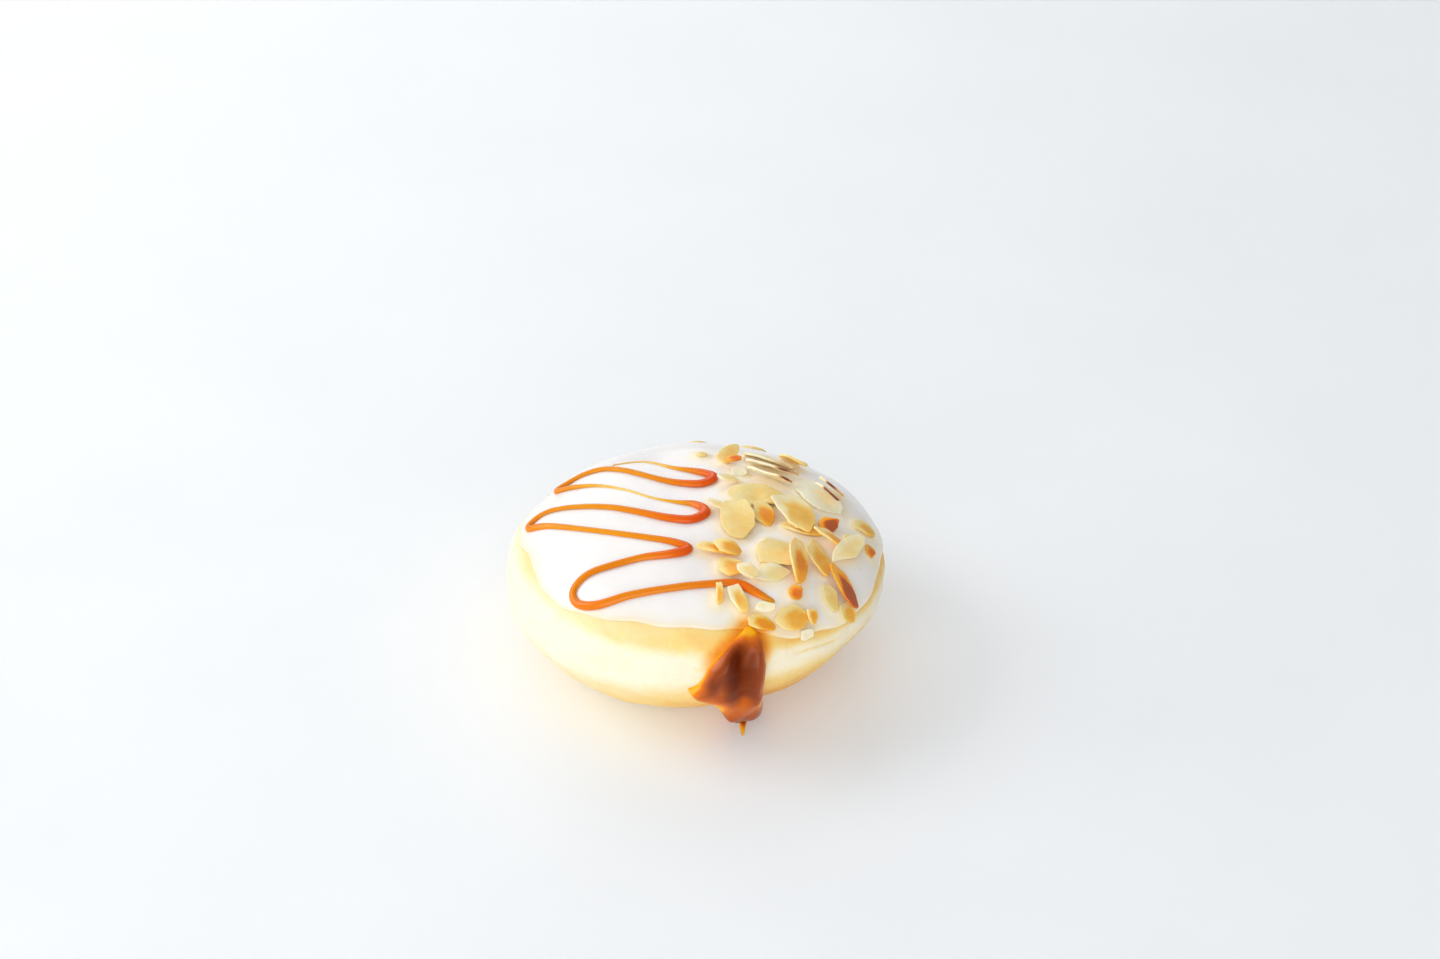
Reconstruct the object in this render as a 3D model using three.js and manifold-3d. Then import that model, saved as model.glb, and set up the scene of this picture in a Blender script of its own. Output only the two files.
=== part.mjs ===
// A filled doughnut: fried dough with a pocket of caramel, a white icing cap, a caramel drizzle
// over the left half and flaked almonds over the right half.
// Millimetres, +Z up, front towards -Y. The origin is the middle of the flat that the dough rests on.
// A bearing is an angle round +Z in radians: 0 is +X and -PI/2 the front.
import * as THREE from "three";
import { mergeVertices } from "three/addons/utils/BufferGeometryUtils.js";
import Module from "manifold-3d";

const wasm = await Module();
wasm.setup();
const { Manifold, Mesh: SolidMesh } = wasm;
const rad = THREE.MathUtils.degToRad;

// ---- Driving dimensions ----------------------------------------------------------------------

const RADIUS = 45; // the dough, at its waist
const DOUGH_HEIGHT = 36.4;
const WAIST_HEIGHT = 20.5; // where the dough is widest
const WAIST_TILT = 1; // how much higher the waist is at +X, and lower at -X
const FOOT_RADIUS = 20; // the flat that it rests on
const FOOT_SHIFT = 5; // how far that flat lies towards -X
const CROWN_POWER = 2.75; // the superellipse above the waist: over 2 is a flat top with full shoulders
const BELLY_POWER = 1.5; // the one below it: under 2 is a slack curve down to the foot
const ICING = 1.3; // thickness of the icing
const GAP = 0.3; // between pieces that touch
const SEGMENTS = 56; // round the dough and the icing

// The icing's edge: bearing in degrees, height on the dough.
const ICING_EDGE = [
  [-163, 30.3], [-145, 28.4], [-128, 29.2], [-105, 30.4], [-85, 30.6], [-72, 30.2], [-60, 27.6],
  [-50, 27.4], [-38, 25.6], [-27, 26.4], [-10, 27.6], [10, 26.2], [35, 24.8], [62, 26.2],
  [90, 25.6], [118, 27.4], [145, 29], [172, 28.8],
];

// The caramel drizzle, one strand: x, y and the bead's width, from its thin start at the back.
const DRIZZLE = [
  [-20, 24, 0.6], [-12, 25.5, 0.7], [-5, 21.6, 1.3], [1, 19, 2.4], [4.7, 16.2, 3], [2.4, 13, 3],
  [-3, 13.4, 2.5], [-9, 15.6, 2], [-16, 19.4, 1.9], [-23, 22.3, 1.9], [-30, 21.4, 2],
  [-34.4, 18.4, 2.3], [-30, 16.7, 1.9], [-24, 14.6, 1.2], [-17, 10.8, 0.8], [-10, 6.4, 0.8],
  [-5, 4.8, 1.2], [0, 3.2, 2.4], [2.7, -0.6, 3], [-0.6, -3.9, 3], [-6, -3, 2.7], [-13, -0.1, 2.2],
  [-21, 3.2, 1.9], [-29, 5.4, 1.8], [-36, 5.6, 1.9], [-40.3, 2.6, 2.3], [-37, 0.2, 2.1],
  [-29, -3.8, 1.8], [-20, -7.6, 1.8], [-11, -11, 2], [-4.4, -13.5, 2.4], [-1, -16, 3],
  [-6, -18, 2.7], [-12.6, -18.2, 2.2], [-19, -19.8, 2.2], [-25, -22, 2.2], [-28.6, -26, 2.2],
  [-27.2, -29.4, 2.4], [-22, -31.3, 2.4], [-15, -30.4, 2.2], [-7, -29.3, 2.2], [1, -28.1, 2.3],
  [6.5, -27.2, 2.4], [10, -27.2, 2.6], [13, -29.4, 2.6], [16, -31.2, 1.9], [18.2, -32, 1],
];
const DRIZZLE_STEPS = 150;
const BEAD_HEIGHT = 0.55; // of the bead, as a share of its width

// The filling: a flat pool in the middle, a neck out to the mouth, and a tongue down the side.
const POOL = { at: [2, -3, 20.5], half: [21, 20, 7.5] };
const MOUTH = { bearing: rad(-77), height: 24, radius: 4.6 };
const NECK_TAPER = 1.5; // how much thinner the neck is where it leaves the pool
// How thick the tongue is at its middle and at its edges. It starts with a share of that
// thickness at its top, and gains all of it over the first few millimetres.
const TONGUE_THICKNESS = 3.4;
const TONGUE_EDGE = 0.5;
const TONGUE_START = 0.35;
const TONGUE_SWELL = 4;
// Under the dough's belly the tongue hangs free, so its foot stands this far out.
const HANG = { top: 13, reach: 7, power: 1.6 };
// The tongue's outline: height on the dough, then its left and right edge along X.
const TONGUE = [
  [29.3, 11, 13.6], [28.5, 9, 14.4], [27.4, 5.4, 15], [25.4, 3, 15.2], [22.5, 2, 15.2],
  [20.6, 0.6, 15.2], [19.4, -1.2, 15.2], [18, -1, 15.2], [16.2, 2.6, 15.2], [13.4, 4.8, 15],
  [9.4, 5.6, 15], [6.4, 6.2, 15.4], [3.6, 6.8, 15.8], [1.4, 7.6, 15.6],
];
const DRIP_TIP = { at: [11.2, -33, 0.1], half: [1.2, 3.6, 1] };

// The almonds, the lowest in each heap first.
// x, y, heading, length, width, pitch (tip up), roll (left side up), bow, the stretch that is left.
// That stretch is on a scale from -1 at the blunt end to 1 at the tip.
const WHOLE = [-1, 1];
const FLAKE_THICKNESS = 0.9;
const FLAKES = [
  // The left edge of the field, beside the drizzle.
  [7.8, 13.4, 4, 6, 3, 0, 0, 0.3, WHOLE],
  [11, 18.8, 20, 5, 4, 0, 0, 0.2, [-0.9, 0.5]],
  [4.8, 1.2, -50, 6, 3.4, 0, 0, 0.2, WHOLE],
  [4.6, -15.8, -6, 10.4, 3, 0, 0, 0.4, WHOLE],
  [8.2, -22.4, -70, 9, 6, 0, 4, 0.4, WHOLE],
  [7.6, -16.8, -14, 7.6, 4.6, 0, 0, 1.1, WHOLE],
  // The middle: large flakes that lie flat, then those that lean on them.
  [15, 7, -2, 16, 10, 0, 0, 0.5, WHOLE],
  [16, -1.4, -72, 9, 5.6, 0, 0, 0.4, WHOLE],
  [9.9, -3.6, 98, 16, 8.4, 0, -6, 0.5, [-1, 0.66]],
  [12.2, -26, -42, 6.2, 4, 0, 0, 0.3, WHOLE],
  [17.6, -24, 4, 9.6, 5.6, 0, 0, 0.3, [-0.8, 1]],
  [18.9, -16.2, 86, 15, 9.8, 0, 4, 0.5, [-0.72, 0.8]],
  [29.8, 9.8, -60, 18.6, 9.4, 0, 0, 0.6, WHOLE],
  [32.2, -3.4, 4, 6.4, 4.2, 0, 36, 0.3, [-1, 0.7]],
  [25.2, -5.8, -16, 10, 4.6, 0, 0, 0.4, WHOLE],
  [23.2, -1.2, -62, 16.6, 10, -14, -6, 0.6, WHOLE],
  // The fan of long slices at the back, each leaning on the one behind it.
  [8, 26, 50, 8.6, 4, 30, 40, 0.5, WHOLE],
  [18, 26, -28, 16, 5.4, 0, -28, 0.6, WHOLE],
  [18, 20.6, -30, 16.4, 5.6, 0, -34, 0.6, WHOLE],
  [18.6, 14.4, -30, 14, 5, 0, -36, 0.6, WHOLE],
  [23.8, 26.6, -36, 8, 4.4, 0, -24, 0.3, WHOLE],
  [9.4, 22.2, 8, 4, 2.4, 0, 10, 0.3, WHOLE],
  // The right shoulder.
  [33, 14.2, -44, 8.6, 4, 0, -30, 0.4, WHOLE],
  [32.2, 9.6, -50, 9.4, 4, 0, -34, 0.4, WHOLE],
  [32, -9.4, -20, 10.6, 4, 0, -14, 0.4, WHOLE],
  [37.4, -7, 20, 6.4, 3.2, 0, -14, 0.3, WHOLE],
  [40.4, 0.8, -16, 6.6, 5.6, 0, 8, 0.4, WHOLE],
  [36.4, -11.8, 58, 12.8, 5.2, 10, 4, 0.5, WHOLE],
  [24, -21, -86, 14, 5.6, 0, -26, 0.5, WHOLE],
  [28.8, -16.4, -74, 13.4, 6, 0, -30, 0.5, WHOLE],
  [36, -28, -30, 6.4, 4.6, 0, 0, 0.6, WHOLE],
  [31.6, -27, -64, 7, 4.2, 0, 0, 0.3, WHOLE],
  [35, -23.6, -58, 14.6, 4.2, 0, -8, 0.5, WHOLE],
  // The front, down to the icing's edge.
  [23.4, -29.4, 4, 4, 3.8, 0, 34, 0.3, [-1, 0.7]],
  [15, -37.6, -14, 7.8, 4, 0, 0, 0.4, WHOLE],
  [22.4, -35.6, 12, 8.8, 7, 0, 0, 0.5, WHOLE],
  [27.2, -34.2, -74, 4.8, 2.8, 0, 0, 0.2, WHOLE],
  // Round the back, down to the icing's edge, and one crumb on the right shoulder.
  [1.6, 28, -20, 2.8, 2, 0, 0, 0.2, WHOLE],
  [8, 45.2, -10, 7, 3.6, 0, 0, 0.3, WHOLE],
  [20.2, 41.2, -26, 8, 4, 0, 0, 0.4, WHOLE],
  [26.6, 34.6, -38, 7, 3.8, 0, 0, 0.4, [-1, 0.8]],
  [14.6, 41, -22, 8, 4, 0, 0, 0.4, WHOLE],
  [1.6, 43.6, 6, 7, 3.8, 0, 0, 0.4, WHOLE],
  [41.4, -7.4, -80, 4.6, 3, 0, 0, 0.2, WHOLE],
];
// Slivers and broken bits, in the same terms but cut square.
const CUT = [-0.7, 0.7];
const SLIVER_THICKNESS = 1.5;
const SLIVERS = [
  [5.6, -31.8, -86, 8.4, 1.9, 0, 0, 0, CUT],
  [10, -33, -68, 11, 3.7, 0, 0, 0, CUT],
  [16.2, -35.6, -4, 6.6, 2.5, 0, 0, 0, CUT],
  [26.2, -37.2, 30, 5, 2.7, 0, 0, 0, CUT],
];

// ---- Materials -------------------------------------------------------------------------------

const material = (color, roughness) =>
  new THREE.MeshStandardMaterial({ color, roughness, metalness: 0 });
const DOUGH = material(0xe9c27c, 0.6);
const SUGAR = material(0xf7f3ee, 0.25);
const CARAMEL = material(0x7a3a10, 0.2);
const DRIZZLED = material(0xd9801c, 0.2);
const ALMOND = material(0xeed3a0, 0.55);

// ---- Surfaces --------------------------------------------------------------------------------

// A smooth value round the dough from [bearing in degrees, value] pairs in order.
function roundTheDough(pairs) {
  return (bearing) => {
    const degrees = THREE.MathUtils.radToDeg(bearing);
    const turned = THREE.MathUtils.euclideanModulo(degrees - pairs[0][0], 360) + pairs[0][0];
    const after = pairs.findIndex(([at]) => at > turned);
    const [b, valueB] = after < 0 ? [pairs[0][0] + 360, pairs[0][1]] : pairs[after];
    const [a, valueA] = after < 0 ? pairs.at(-1) : pairs[after - 1];
    return THREE.MathUtils.lerp(valueA, valueB, THREE.MathUtils.smoothstep(turned, a, b));
  };
}

// A value that changes smoothly down a list whose rows start with a falling height.
function byHeight(rows, height, column) {
  const after = rows.findIndex(([at]) => at <= height);
  if (after === 0) return rows[0][column];
  if (after < 0) return rows.at(-1)[column];
  const [above, below] = [rows[after - 1], rows[after]];
  const share = (above[0] - height) / (above[0] - below[0]);
  return THREE.MathUtils.lerp(above[column], below[column], share);
}

const waistAt = (bearing) => WAIST_HEIGHT + WAIST_TILT * Math.cos(bearing);

// A point on the bare dough. climb is -1 at the foot's rim, 0 at the waist and 1 at the crown.
function crust(bearing, climb) {
  const waist = waistAt(bearing);
  const turn = (Math.abs(climb) * Math.PI) / 2;
  const power = climb < 0 ? BELLY_POWER : CROWN_POWER;
  const out = Math.max(0, Math.cos(turn)) ** (2 / power);
  const up = Math.sin(turn) ** (2 / power);
  const inner = climb < 0 ? FOOT_RADIUS - FOOT_SHIFT * Math.cos(bearing) : 0;
  const r = inner + (RADIUS - inner) * out;
  const z = climb < 0 ? waist - waist * up : waist + (DOUGH_HEIGHT - waist) * up;
  return new THREE.Vector3(r * Math.cos(bearing), r * Math.sin(bearing), z);
}

// The climb at which the dough has a given height.
function climbAt(bearing, height) {
  const waist = waistAt(bearing);
  const above = height >= waist;
  const share = above ? (height - waist) / (DOUGH_HEIGHT - waist) : (waist - height) / waist;
  const turn = Math.asin(Math.min(1, share) ** ((above ? CROWN_POWER : BELLY_POWER) / 2));
  return ((above ? 1 : -1) * turn * 2) / Math.PI;
}

// The outward normal of the dough.
function outward(bearing, climb) {
  if (climb > 0.999) return new THREE.Vector3(0, 0, 1);
  const step = 0.002;
  const c = Math.max(-0.99, climb);
  const round = crust(bearing + step, c).sub(crust(bearing - step, c));
  const rise = crust(bearing, c + step).sub(crust(bearing, c - step));
  return round.cross(rise).normalize();
}

// A point a given distance off the dough.
const offCrust = (bearing, climb, distance) =>
  crust(bearing, climb).addScaledVector(outward(bearing, climb), distance);

// The place on top of the icing above plan position x, y, and the outward normal there.
function onIcing(x, y, lift) {
  const bearing = Math.atan2(y, x);
  const [wanted, offset] = [Math.hypot(x, y), GAP + ICING + lift];
  let [low, high] = [0, 1];
  for (let i = 0; i < 40; i++) {
    const middle = (low + high) / 2;
    const p = offCrust(bearing, middle, offset);
    if (Math.hypot(p.x, p.y) > wanted) low = middle;
    else high = middle;
  }
  return { place: offCrust(bearing, high, offset), normal: outward(bearing, high) };
}

// ---- Solids ----------------------------------------------------------------------------------

function solidOf(geometry) {
  const bare = new THREE.BufferGeometry();
  bare.setAttribute("position", geometry.getAttribute("position"));
  bare.setIndex(geometry.index);
  const merged = mergeVertices(bare, 1e-3);
  return new Manifold(
    new SolidMesh({
      numProp: 3,
      vertProperties: merged.attributes.position.array,
      triVerts: new Uint32Array(merged.index.array),
    }),
  );
}

function geometryOf(solid) {
  const mesh = solid.getMesh();
  const geometry = new THREE.BufferGeometry();
  geometry.setAttribute("position", new THREE.BufferAttribute(mesh.vertProperties, 3));
  geometry.setIndex(new THREE.BufferAttribute(mesh.triVerts, 1));
  geometry.computeVertexNormals();
  return geometry;
}

// A body of revolution whose rows a function then puts in place: place(bearing, row).
function turned(rows, place) {
  const profile = Array.from({ length: rows }, (_, row) => new THREE.Vector2(1, row));
  const geometry = new THREE.LatheGeometry(profile, SEGMENTS);
  const position = geometry.getAttribute("position");
  for (let i = 0; i < position.count; i++) {
    const bearing = (Math.floor(i / rows) / SEGMENTS) * 2 * Math.PI;
    position.setXYZ(i, ...place(bearing, i % rows).toArray());
  }
  return geometry;
}

// A closed skin over rings of equally many points, with flat ends.
function loft(rings) {
  const sides = rings[0].length;
  const index = [];
  for (let ring = 0; ring + 1 < rings.length; ring++) {
    for (let side = 0; side < sides; side++) {
      const [a, b] = [ring * sides + side, ring * sides + ((side + 1) % sides)];
      index.push(a, b, b + sides, a, b + sides, a + sides);
    }
  }
  const last = (rings.length - 1) * sides;
  for (let side = 1; side + 1 < sides; side++) {
    index.push(0, side + 1, side, last, last + side, last + side + 1);
  }
  const geometry = new THREE.BufferGeometry().setFromPoints(rings.flat());
  geometry.setIndex(index);
  return geometry;
}

function ellipsoid({ at, half }, grow, across = 28, up = 16) {
  const geometry = new THREE.SphereGeometry(1, across, up);
  geometry.rotateX(Math.PI / 2);
  geometry.scale(...half.map((size) => size + grow));
  geometry.translate(...at);
  return geometry;
}

// ---- The dough and the icing -----------------------------------------------------------------

const BELLY_ROWS = 10;
const CROWN_ROWS = 13;

function dough(pocket) {
  const rows = 1 + BELLY_ROWS + CROWN_ROWS + 1;
  const whole = turned(rows, (bearing, row) => {
    if (row === 0) return new THREE.Vector3(0, 0, 0);
    const step = row - 1 - BELLY_ROWS;
    return crust(bearing, step / (step < 0 ? BELLY_ROWS : CROWN_ROWS));
  });
  return solidOf(whole).subtract(pocket);
}

const ICING_ROWS = 10; // on its inner and on its outer face
// The rounded edge: how far it reaches past the edge line, and how far off the dough,
// as shares of the thickness.
const LIP = [[0.35, 0.2], [0.5, 0.5], [0.35, 0.85]];
const LIP_REACH = 0.045; // in climb, for one whole thickness

function icing() {
  const edge = roundTheDough(ICING_EDGE);
  const rows = 2 * (ICING_ROWS + 1) + LIP.length;
  return turned(rows, (bearing, row) => {
    const end = climbAt(bearing, edge(bearing));
    const lip = row - ICING_ROWS - 1;
    if (lip >= 0 && lip < LIP.length) {
      const [reach, off] = LIP[lip];
      return offCrust(bearing, end - reach * LIP_REACH, GAP + off * ICING);
    }
    const inner = lip < 0;
    const share = inner ? 1 - row / ICING_ROWS : (row - ICING_ROWS - 1 - LIP.length) / ICING_ROWS;
    return offCrust(bearing, end + (1 - end) * share, inner ? GAP : GAP + ICING);
  });
}

// ---- The filling -----------------------------------------------------------------------------

const NECK_SIDES = 16;

// The way out from the pool to the mouth, grown by a margin and ending a given distance off the dough.
function neck(grow, end) {
  const climb = climbAt(MOUTH.bearing, MOUTH.height);
  const from = new THREE.Vector3(...POOL.at);
  const to = offCrust(MOUTH.bearing, climb, end);
  const length = to.distanceTo(from);
  const geometry = new THREE.CylinderGeometry(
    MOUTH.radius + grow, MOUTH.radius - NECK_TAPER + grow, length, NECK_SIDES,
  );
  const along = to.clone().sub(from).normalize();
  const turn = new THREE.Quaternion().setFromUnitVectors(new THREE.Vector3(0, 1, 0), along);
  geometry.applyQuaternion(turn);
  geometry.translate(...from.add(to).multiplyScalar(0.5).toArray());
  return geometry;
}

// The caramel that has run out: a layer on the dough between the tongue's two edges.
const TONGUE_SIDES = 9; // points across its outer face, and as many on its inner one
const ARCH = { flat: 2.4, round: 0.6 }; // the powers that shape its section: a flattened arch
const TONGUE_ROWS = 24;

function tongueRing(height) {
  const nominal = crust(MOUTH.bearing, climbAt(MOUTH.bearing, height));
  const reach = Math.hypot(nominal.x, nominal.y);
  const [left, right] = [1, 2].map((column) => byHeight(TONGUE, height, column) / reach);
  const [from, to] = [left, right].map((share) => Math.asin(share) - Math.PI / 2);
  const swell = Math.min(1, TONGUE_START + (TONGUE[0][0] - height) / TONGUE_SWELL);
  const hang = HANG.reach * Math.max(0, 1 - height / HANG.top) ** HANG.power;
  const points = [];
  for (let i = 0; i < 2 * TONGUE_SIDES; i++) {
    const outer = i < TONGUE_SIDES;
    const share = (outer ? i : 2 * TONGUE_SIDES - 1 - i) / (TONGUE_SIDES - 1);
    const bearing = THREE.MathUtils.lerp(from, to, share);
    const arch = (1 - Math.abs(2 * share - 1) ** ARCH.flat) ** ARCH.round;
    const thickness = TONGUE_EDGE + (TONGUE_THICKNESS - TONGUE_EDGE) * arch * swell;
    const point = offCrust(bearing, climbAt(bearing, height), outer ? GAP + thickness : GAP);
    if (outer) point.y -= hang;
    points.push(point);
  }
  return points;
}

function filling() {
  const [top, bottom] = [TONGUE[0][0], TONGUE.at(-1)[0]];
  const rings = Array.from({ length: TONGUE_ROWS }, (_, row) =>
    tongueRing(THREE.MathUtils.lerp(top, bottom, row / (TONGUE_ROWS - 1))),
  );
  const aboveTable = new THREE.BoxGeometry(200, 200, 100).translate(0, 0, 50);
  return solidOf(loft(rings.reverse()))
    .add(solidOf(ellipsoid(DRIP_TIP, 0, 12, 8)))
    .intersect(solidOf(aboveTable))
    .add(solidOf(neck(0, GAP + TONGUE_THICKNESS / 2)))
    .add(solidOf(ellipsoid(POOL, 0)));
}

// ---- The drizzle -----------------------------------------------------------------------------

// The bead's section: across and up, as shares of its half width and its height.
const BEAD = [[-0.8, 0], [0.8, 0], [1, 0.3], [0.75, 0.75], [0, 1], [-0.75, 0.75], [-1, 0.3]];

function drizzle() {
  const plan = new THREE.CatmullRomCurve3(
    DRIZZLE.map(([x, y, width]) => new THREE.Vector3(x, y, width)), false, "centripetal",
  );
  const rings = plan.getSpacedPoints(DRIZZLE_STEPS).map((point, i, all) => {
    const { place, normal } = onIcing(point.x, point.y, GAP);
    const [before, after] = [all[Math.max(0, i - 1)], all[Math.min(all.length - 1, i + 1)]];
    const along = new THREE.Vector3(after.x - before.x, after.y - before.y, 0).normalize();
    const side = normal.clone().cross(along).normalize();
    return BEAD.map(([across, up]) =>
      place.clone()
        .addScaledVector(side, (across * point.z) / 2)
        .addScaledVector(normal, up * BEAD_HEIGHT * point.z),
    );
  });
  return loft(rings);
}

// ---- The almonds -----------------------------------------------------------------------------

const STATIONS = 9;
const BEVEL = 0.3; // of the flake's edge

// A flake on its own, with its length along X and its width along Y. grow makes it larger all round.
function flake([, , , length, width, , , bow, [from, to]], thickness, grow = 0) {
  const stations = Array.from({ length: STATIONS }, (_, i) =>
    THREE.MathUtils.clamp(-Math.cos((Math.PI * i) / (STATIONS - 1)), from, to),
  );
  const kept = stations.filter((s, i) => s !== stations[i + 1]);
  return loft(
    kept.map((s, i) => {
      const egg = (1 - s * s) ** (0.5 + 0.1 * (1 + s)) * (1 - 0.1 * s);
      const w = Math.max(0.45, (egg * width) / 2) + grow;
      const t = thickness / 2 + grow;
      const bevel = Math.min(BEVEL, w / 2);
      const x = (s * length) / 2 + (i === 0 ? -grow : 0) + (i === kept.length - 1 ? grow : 0);
      const z = -bow * s * s;
      const section = [
        [-w, 0], [-w + bevel, -t], [w - bevel, -t], [w, 0], [w - bevel, t], [-w + bevel, t],
      ];
      return section.map(([y, up]) => new THREE.Vector3(x, y, z + up));
    }),
  );
}

// How a flake is turned: level on the icing at x, y, then rolled, pitched and headed.
function attitude([x, y, heading], pitch, roll) {
  const level = new THREE.Quaternion().setFromUnitVectors(
    new THREE.Vector3(0, 0, 1), onIcing(x, y, 0).normal,
  );
  const lean = new THREE.Euler(rad(roll), rad(-pitch), rad(heading), "ZYX");
  return level.multiply(new THREE.Quaternion().setFromEuler(lean));
}

const HIGHEST = 12; // no flake rests higher than this off the icing
const DROP = 0.4;

// The lift off the icing at which a flake, turned so, first rests clear of all that lies below.
function restingLift([x, y], probe, turn, below) {
  const level = probe.clone().applyQuaternion(turn);
  const clear = (lift) => {
    const solid = solidOf(level.clone().translate(...onIcing(x, y, lift).place.toArray()));
    return below.every((other) => other.intersect(solid).isEmpty());
  };
  let high = 0;
  while (high < HIGHEST && !clear(high)) high += DROP;
  let low = high - DROP;
  while (high - low > 0.03) {
    const middle = (low + high) / 2;
    if (clear(middle)) high = middle;
    else low = middle;
  }
  return high;
}

const ROCKS = [7, 4, 2]; // degrees by which a flake tips, in turn, as it finds its rest

// Lays a flake on what is below it: it starts as its row says, and tips wherever that lets it sink.
function settle(name, row, thickness, below) {
  const probe = flake(row, thickness, GAP);
  const rest = (pitch, roll) => {
    const turn = attitude(row, pitch, roll);
    return { pitch, roll, turn, lift: restingLift(row, probe, turn, below) };
  };
  let best = rest(row[5], row[6]);
  for (const tip of ROCKS) {
    for (const [dp, dr] of [[tip, 0], [-tip, 0], [0, tip], [0, -tip]]) {
      const tried = rest(best.pitch + dp, best.roll + dr);
      if (tried.lift < best.lift - 0.1) best = tried;
    }
  }
  const mesh = new THREE.Mesh(flake(row, thickness), ALMOND);
  mesh.name = name;
  mesh.quaternion.copy(best.turn);
  mesh.position.copy(onIcing(row[0], row[1], best.lift).place);
  mesh.updateMatrixWorld(true);
  return mesh;
}

// ---- The doughnut ----------------------------------------------------------------------------

const doughnut = new THREE.Group();
doughnut.name = "filled_doughnut";

function add(name, solid, finish) {
  const mesh = new THREE.Mesh(geometryOf(solid), finish);
  mesh.name = name;
  doughnut.add(mesh);
}

const pocket = solidOf(ellipsoid(POOL, GAP)).add(solidOf(neck(GAP, 2)));
const cap = solidOf(icing());
const strand = solidOf(drizzle());
add("dough", dough(pocket), DOUGH);
add("icing", cap, SUGAR);
add("caramel_filling", filling(), CARAMEL);
add("caramel_drizzle", strand, DRIZZLED);

const below = [cap, strand];

function scatter(prefix, rows, thickness) {
  rows.forEach((row, i) => {
    const mesh = settle(prefix + String(i + 1).padStart(2, "0"), row, thickness, below);
    below.push(solidOf(mesh.geometry.clone().applyMatrix4(mesh.matrixWorld)));
    doughnut.add(mesh);
  });
}

scatter("almond_flake_", FLAKES, FLAKE_THICKNESS);
scatter("almond_sliver_", SLIVERS, SLIVER_THICKNESS);

export default doughnut;
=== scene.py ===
"""A filled doughnut: fried dough, white icing, a caramel drizzle, flaked almonds and a run of caramel.

Every piece is a fine mesh built over its CAD node. Shapes are worked out in millimetres, with +Z up and
the front towards -Y, and are scaled to metres when they become meshes.
"""

from math import cos, radians, sin, tan

import bmesh
import bpy
import numpy as np
from mathutils import Matrix, Vector
from mathutils.geometry import convex_hull_2d
from mathutils.kdtree import KDTree


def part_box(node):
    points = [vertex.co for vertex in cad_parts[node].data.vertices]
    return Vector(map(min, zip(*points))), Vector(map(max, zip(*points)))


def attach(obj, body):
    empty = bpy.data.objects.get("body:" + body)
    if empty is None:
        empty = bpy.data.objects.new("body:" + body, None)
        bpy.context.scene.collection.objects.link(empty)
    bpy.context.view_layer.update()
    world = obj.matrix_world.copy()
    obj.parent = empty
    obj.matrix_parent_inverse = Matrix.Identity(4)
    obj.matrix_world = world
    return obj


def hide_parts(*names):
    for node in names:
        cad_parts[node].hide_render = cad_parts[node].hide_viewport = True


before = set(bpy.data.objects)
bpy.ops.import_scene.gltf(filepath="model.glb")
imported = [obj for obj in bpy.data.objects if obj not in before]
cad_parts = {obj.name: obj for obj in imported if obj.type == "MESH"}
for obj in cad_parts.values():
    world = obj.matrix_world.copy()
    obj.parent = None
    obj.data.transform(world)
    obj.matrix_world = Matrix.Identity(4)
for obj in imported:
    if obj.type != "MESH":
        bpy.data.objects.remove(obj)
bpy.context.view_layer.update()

# ---- Sizes in millimetres ----------------------------------------------------------------------

MM = 0.001
DOUGH_LOW, DOUGH_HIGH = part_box("dough")
RADIUS = (DOUGH_HIGH.x - DOUGH_LOW.x) / 2 / MM
HEIGHT = DOUGH_HIGH.z / MM
WAIST_HEIGHT = 20.5
WAIST_TILT = 1
FOOT_RADIUS = 20
FOOT_SHIFT = 5
CROWN_POWER = 2.75
BELLY_POWER = 1.5

AROUND = 420  # columns round the dough and the icing

# The icing's edge: bearing in degrees, height on the dough.
ICING_EDGE = [(-163, 30.3), (-145, 29.2), (-128, 30), (-105, 31.2), (-85, 31.2), (-72, 30.6), (-60, 28),
              (-50, 27.4), (-38, 25.8), (-27, 26.4), (-10, 27.6), (10, 26.4), (35, 25), (62, 26.2),
              (90, 25.6), (118, 27.4), (145, 29), (172, 28.8)]
# How thick the icing is at its rim, round the dough.
ICING_RIM = [(-180, 0.5), (-120, 0.45), (-70, 0.6), (-25, 1.1), (40, 1.1), (120, 0.8)]
ICING_THICKNESS = 1.6
CAD_ICING = 1.6  # how far the CAD icing's face is off the smooth dough, with its gap

# Where the pale ring ends, above and below, in the same way.
PALE_TOP = [(-180, 28.6), (-146, 28.4), (-128, 27.9), (-104, 27.4), (-75, 26.9), (-57, 26), (-31, 24.2),
            (20, 24.4), (80, 24), (140, 26.6)]
PALE_BOTTOM = [(-180, 15.4), (-151, 16.4), (-119, 18), (-91, 20.4), (-58, 22), (-33, 21.2),
               (20, 18.6), (80, 17.2), (140, 16.8)]

# How golden the crust is round the dough, as a share: partly real browning and partly painted light, paler
# on the left and front-left where the key and front lights fall, and deeper towards the front-right and
# right, which are in shade.
BROWNING_AND_PAINTED_LIGHT = [(-180, 0.7), (-150, 0.55), (-110, 0.66), (-80, 0.95), (-40, 1), (30, 1), (90, 0.9), (140, 0.85)]

# Folds in the proved side: where each starts and ends, as bearing and height.
CREASES = [((-124, 25.9), (-82, 24.3)), ((-108, 22.9), (-88, 22.5)), ((-62, 24.2), (-38, 23)),
           ((28, 22.6), (66, 21.6)), ((150, 23.4), (196, 22.2))]

# ---- The dough's surface -----------------------------------------------------------------------


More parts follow.
